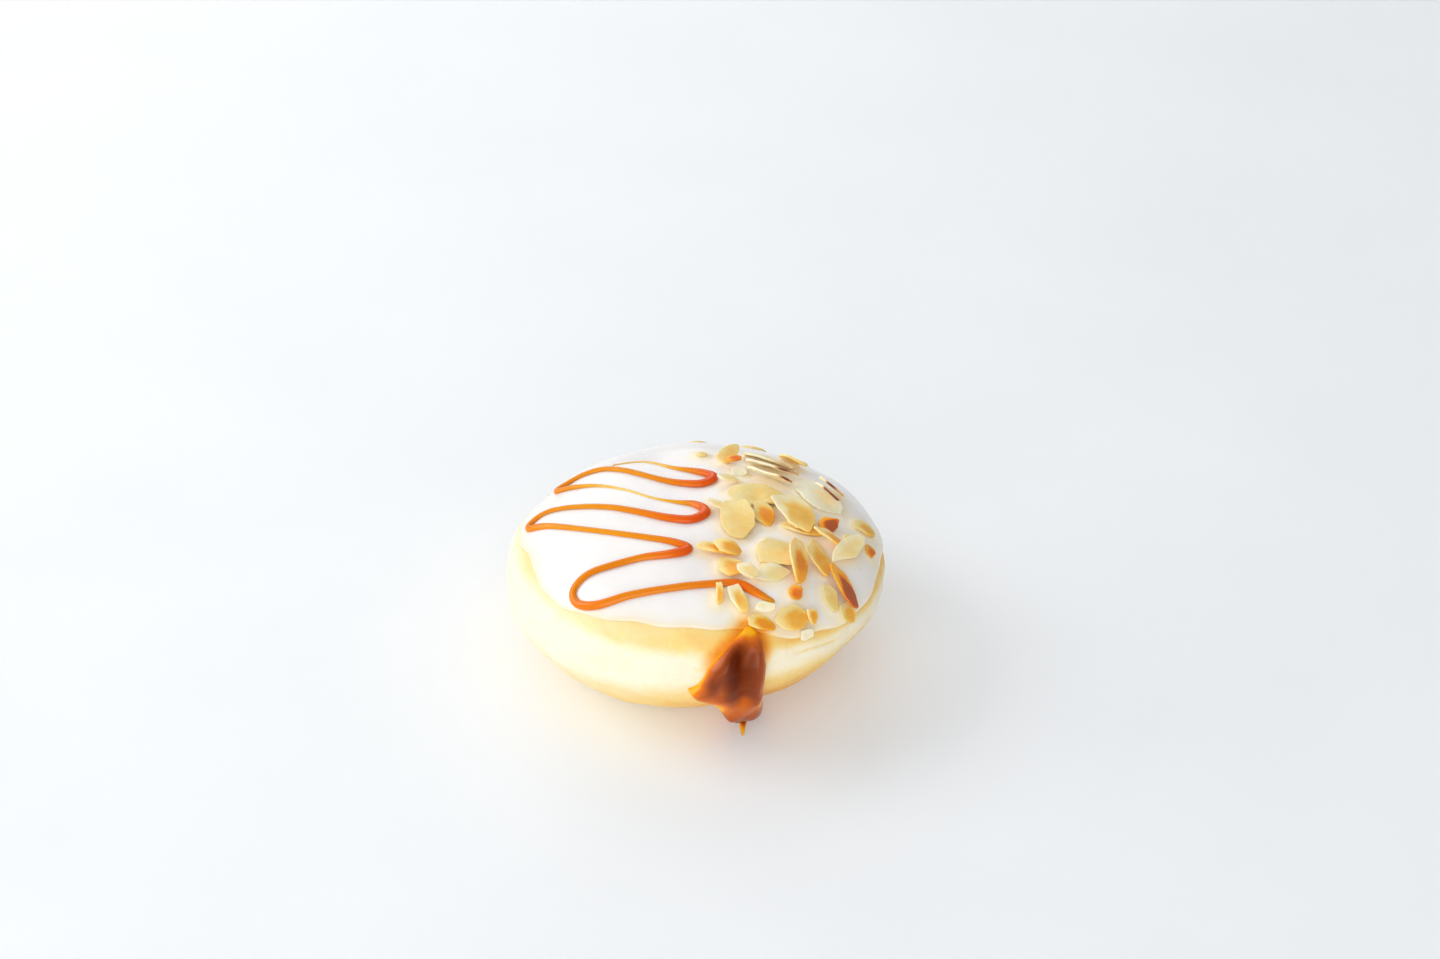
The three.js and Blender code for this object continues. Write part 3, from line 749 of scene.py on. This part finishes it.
def make_filling():
    """The run of caramel down the side, as a layer with an outer face and a face inside the dough."""
    x, height, thick, across = run_grid()
    bearing = bearing_near_mouth(x, height)
    climb = climb_at(bearing, height)
    shoulder = (1 - np.abs(across) ** 3) ** 0.5 * np.ones_like(x)
    bulge = thick + strokes(FOLDS, x, height) + 0.12 * ripple(crust(bearing, climb), 5, 41)
    bulge = bulge.clip(RUN_LEAST, None) * shoulder
    outer = off_crust(bearing, climb, RUN_EDGE + bulge)
    inner = off_crust(bearing, climb, np.full_like(bulge, -RUN_ROOT))
    hang = HANG * ((1 - height / HANG_TOP).clip(0, 1)) ** HANG_POWER
    outer[..., 1] -= hang * (0.3 + 0.7 * shoulder)
    pull_drop(outer, x, height)
    for face in (outer, inner):
        face[..., 2] = face[..., 2].clip(0, None)
    points = np.concatenate([outer, inner[:, ::-1]], 1)
    top, foot = (np.broadcast_to(line.mean(0), line.shape)[None] for line in (points[0], points[-1]))
    # The strokes add painted shade, painted light and the paler thin parts to the depth.
    depth = 0.95 * (bulge / RUN_DEEP).clip(0, 1) ** 0.8 - 0.25 + strokes(TONES_AND_PAINTED_LIGHT, x, height)
    values = {"depth": depth.clip(0, 1), "hollow": strokes([HOLLOW], x, height)}
    values = {key: np.concatenate([value, value[:, ::-1]], 1) for key, value in values.items()}
    values = {key: np.concatenate([value[:1], value, value[-1:]]) for key, value in values.items()}
    mesh = ring_mesh("filling", np.concatenate([top, points, foot]), values)
    material = caramel_material("dark_caramel", RUN_COLOURS, (0.3, 0.42))
    piece("caramel_run", mesh, "caramel_filling", material)
    return mesh_points(mesh)


# ---- The almonds -------------------------------------------------------------------------------

# How toasted a slice is at its centre and round its margin, how brown its skin is, and on which side
# the rim still has that skin, as a bearing in degrees.
TOASTS = {
    "white": (0.06, 0, 0, 0), "cream": (0.24, 0.08, 0, 0), "peach": (0.5, 0.1, 0, 0),
    "tan": (0.36, 0.24, 0, 0), "golden": (0.6, 0.24, 0, 0), "orange": (0.74, 0.26, 0, 0),
    "amber": (0.86, 0.6, 0.5, -60), "brown": (1.1, 0.6, 0.3, -60),
    "tipped": (0.14, 0.04, 1, 0), "edged": (0.2, 0.1, 1, -110),
}
# The toast of each flake and sliver, in the order of their names.
FLAKE_TOASTS = """
    cream white cream golden golden golden tan orange tan cream cream tan white brown golden
    peach tan tipped tipped tipped tan amber edged edged golden tan golden cream
    orange golden golden tan brown amber orange golden golden tan tan tan cream tan golden amber
""".split()
SLIVER_TOASTS = "golden peach white white".split()

# A slice's face and squared rim: share of the way out, how far in from the rim, share of the thickness.
FACE = [(0, 0.3, 1), (0.22, 0.3, 1), (0.42, 0.3, 1), (0.6, 0.3, 1), (0.76, 0.3, 1), (0.88, 0.3, 1),
        (1, 0.3, 1), (1, 0.12, 1), (1, 0.04, 0.92), (1, 0, 0.8), (1, 0, 0.3)]
OUTLINE_POINTS = 80
THINNED = 0.66  # a slice's thickness, as a share of its CAD flake's
SUNK = 0.3  # how much deeper than its CAD flake a slice sits in the icing
PAINTED_SHADE_SIDE = -35  # the bearing in degrees towards which each slice is painted more toasted: painted shade away from the key light, with its lit side painted paler
SKIN_INSET = 0.1  # how far in from the rim its skin may reach


def outline_of(flat):
    """The convex outline of flat points, as evenly spaced points round it."""
    hull = flat[convex_hull_2d([Vector(point) for point in flat])]
    closed = np.concatenate([hull, hull[:1]])
    run = np.concatenate([[0], np.cumsum(np.linalg.norm(np.diff(closed, axis=0), axis=1))])
    at = np.linspace(0, run[-1], OUTLINE_POINTS, endpoint=False)
    return np.stack([np.interp(at, run, closed[:, k]) for k in (0, 1)], -1)


def chipped(edge, rng):
    """An outline with a few straight breaks in it, as slices snap when they are cut."""
    for angle in rng.uniform(0, 2 * np.pi, 3):
        out = edge @ [cos(angle), sin(angle)]
        most = out.max() * rng.uniform(0.74, 0.95)
        edge = edge * np.where(out > most, most / np.maximum(out, 0.01), 1)[:, None]
    return edge


def facing(edge, axes, bearing):
    """How far each point of an outline lies towards a bearing in degrees, from -1 to 1."""
    side = axes[:2, :2] @ [cos(radians(bearing)), sin(radians(bearing))]
    return edge @ side / np.linalg.norm(edge, axis=1) / np.linalg.norm(side)


def nicked(edge, seed):
    """An outline with small uneven nicks all the way round."""
    where = np.column_stack([edge, np.full(len(edge), seed * 37.0)])
    nicks = 0.03 * np.abs(ripple(where, 4, seed)) + 0.014 * np.abs(ripple(where, 1.4, seed + 100))
    return edge * (1 - nicks)[:, None]


def own_axes(points):
    """Axes along, across and through a flat thing."""
    axes = np.linalg.svd(points - points.mean(0))[2]
    axes[2] = np.cross(axes[0], axes[1])
    return axes


def browning(toast, edge, axes, flat, rim_skin):
    """How toasted a slice's face is at each point, with painted shade deepening it towards one side, and
    how much brown skin there is.
    """
    centre, margin, skin, skin_side = TOASTS[toast]
    near = np.linalg.norm(flat, axis=-1) / np.linalg.norm(edge, axis=1)
    # Painted shade: the toast leans deeper towards the side away from the key light, and paler on the lit
    # side.
    near = near - 0.5 * facing(edge, axes, PAINTED_SHADE_SIDE) * near
    tone = margin + (centre - margin) * (1 - smooth_step(near, 0.25, 1.05))
    brown = skin * rim_skin * smooth_step(facing(edge, axes, skin_side), 0.1, 0.7)
    return {"toast": tone, "skin": brown}


def let_down(world, cad_points):
    """How a slice moves, so that it lies as far off the real icing as its CAD flake off the CAD icing."""
    height, normals, icing = height_off_dough(world.reshape(-1, 3)[::5])
    over_cad_icing = height_off_dough(cad_points)[0].min() - CAD_ICING
    return -normals.mean(0) * ((height - icing).min() - over_cad_icing + SUNK)


def make_flake(name, toast, material, seed):
    """A slice over a CAD flake: the same outline and bow, with a slight warp and a crisp cut rim."""
    points = node_points(name)
    middle = points.mean(0)
    axes = own_axes(points)
    local = (points - middle) @ axes.T
    bow = np.polyfit(local[:, 0], local[:, 2], 2)
    thickness = np.abs(local[:, 2] - np.polyval(bow, local[:, 0])).max() * THINNED
    edge = nicked(chipped(outline_of(local[:, :2]), np.random.default_rng(seed)), seed)
    share, inset, level = (np.array(column)[:, None] for column in zip(*FACE))
    radius = np.linalg.norm(edge, axis=1)
    flat = edge[None] * (share * (1 - inset / radius).clip(0.2))[..., None]
    field = np.concatenate([flat, np.full(flat.shape[:2] + (1,), seed * 53.0)], -1)
    lift = np.polyval(bow, flat[..., 0]) + 0.2 * ripple(field, 8, seed + 200)
    half = thickness * level * (1 + 0.08 * ripple(field, 4, seed + 300))
    faces = [np.concatenate([flat, (lift + side * half)[..., None]], -1) for side in (1, -1)]
    rows = np.concatenate([faces[0], faces[1][::-1]])
    worn = (0.8 + 0.3 * ripple(field, 6, seed + 400)).clip(0, 1)
    values = browning(toast, edge, axes, flat, np.where(inset < SKIN_INSET, 1, 0) * worn)
    values = {key: np.concatenate([value, value[::-1]]) for key, value in values.items()}
    world = rows @ axes + middle
    world += let_down(world, points)
    mesh = ring_mesh(name, world, values)
    mesh.set_sharp_from_angle(angle=radians(40))
    piece(name + "_slice", mesh, name, material)
    return mesh_points(mesh)


def make_almonds():
    """All the slices. The points of all their meshes are what the icing then clings to."""
    material = almond_material()
    slices = []
    for prefix, toasts in (("almond_flake_", FLAKE_TOASTS), ("almond_sliver_", SLIVER_TOASTS)):
        for i, toast in enumerate(toasts):
            slices.append(make_flake(f"{prefix}{i + 1:02d}", toast, material, len(prefix) * 50 + i))
    return np.concatenate(slices)


# ---- The stage ---------------------------------------------------------------------------------

LENS = 85
ELEVATION = 34  # degrees above the horizon
DISTANCE = 812.5  # from the lens to the doughnut's middle
MIDDLE_HEIGHT = 18
AIM_RIGHT = 0.42  # degrees from the doughnut's middle to where the camera looks
AIM_UP = 1.745


def make_camera():
    """A long lens, which looks down at the doughnut from in front."""
    camera = bpy.data.objects.new("camera", bpy.data.cameras.new("camera"))
    bpy.context.scene.collection.objects.link(camera)
    camera.data.lens = LENS
    camera.data.clip_start = 0.01
    right, up = radians(AIM_RIGHT), radians(AIM_UP)
    look = Matrix.Rotation(radians(90 - ELEVATION) + up, 3, "X") @ Matrix.Rotation(-right, 3, "Y")
    towards = (look @ Vector((-tan(right), -tan(up), -1))).normalized()
    place = Vector((0, 0, MIDDLE_HEIGHT * MM)) - towards * DISTANCE * MM
    camera.matrix_world = Matrix.Translation(place) @ look.to_4x4()
    bpy.context.scene.camera = camera


FLOOR_HALF = 3  # metres from its middle to each side
FLOOR_GLOW = 0.23
FLOOR_GAP = 0.05  # from the floor up to the doughnut


def make_floor():
    """A white, faintly lit and slightly translucent table, which keeps the shadows pale."""
    s = Shader("pale_floor")
    s.feed("Base Color", s.ramp(s.noise(60, 2), (0.3, srgb(212, 216, 220)), (0.7, srgb(215, 219, 223))))
    s.feed("Roughness", s.spread(s.noise(40, 2), 0.5, 0.6))
    s.set(Subsurface_Weight=1, Subsurface_Radius=(1, 1, 1), Subsurface_Scale=8 * MM)
    s.set(Emission_Color=(1, 1, 1, 1), Emission_Strength=FLOOR_GLOW)
    mesh = bpy.data.meshes.new("floor")
    corners = [(x * FLOOR_HALF, y * FLOOR_HALF, 0) for x, y in ((-1, -1), (1, -1), (1, 1), (-1, 1))]
    mesh.from_pydata(corners, [], [(0, 1, 2, 3)])
    floor = bpy.data.objects.new("floor", mesh)
    floor.location.z = -FLOOR_GAP * MM
    bpy.context.scene.collection.objects.link(floor)
    mesh.materials.append(s.material)


# The soft boxes: name, place and side in metres, power in watts, colour.
SOFT_BOXES = [
    ("key", (-1, 0.15, 0.65), 0.8, 7.2, (1, 0.99, 0.97)),
    ("window", (-0.3, 1, 0.6), 0.9, 3, (1, 1, 1)),
    ("front", (-0.2, -1, 0.45), 0.9, 6.2, (1, 1, 1)),
]
ROOM_LIGHT = 0.48


def add_light(name, place, size, energy, colour):
    """A square soft box that faces the doughnut."""
    data = bpy.data.lights.new(name, "AREA")
    data.size = size
    data.energy = energy
    data.color = colour
    light = bpy.data.objects.new(name, data)
    bpy.context.scene.collection.objects.link(light)
    light.location = place
    light.rotation_euler = (-Vector(place)).to_track_quat("-Z", "Y").to_euler()


def light_the_stage():
    """White surroundings, the soft boxes, and a plain display of their light."""
    world = bpy.data.worlds.new("studio")
    world.use_nodes = True
    background = world.node_tree.nodes["Background"]
    background.inputs["Color"].default_value = (1, 1, 1, 1)
    background.inputs["Strength"].default_value = ROOM_LIGHT
    bpy.context.scene.world = world
    for soft_box in SOFT_BOXES:
        add_light(*soft_box)
    bpy.context.scene.view_settings.view_transform = "Standard"


# ---- The doughnut ------------------------------------------------------------------------------

make_camera()
filling = make_filling()
make_dough(filling)
make_icing(filling, make_almonds())
make_drizzle()
make_floor()
light_the_stage()
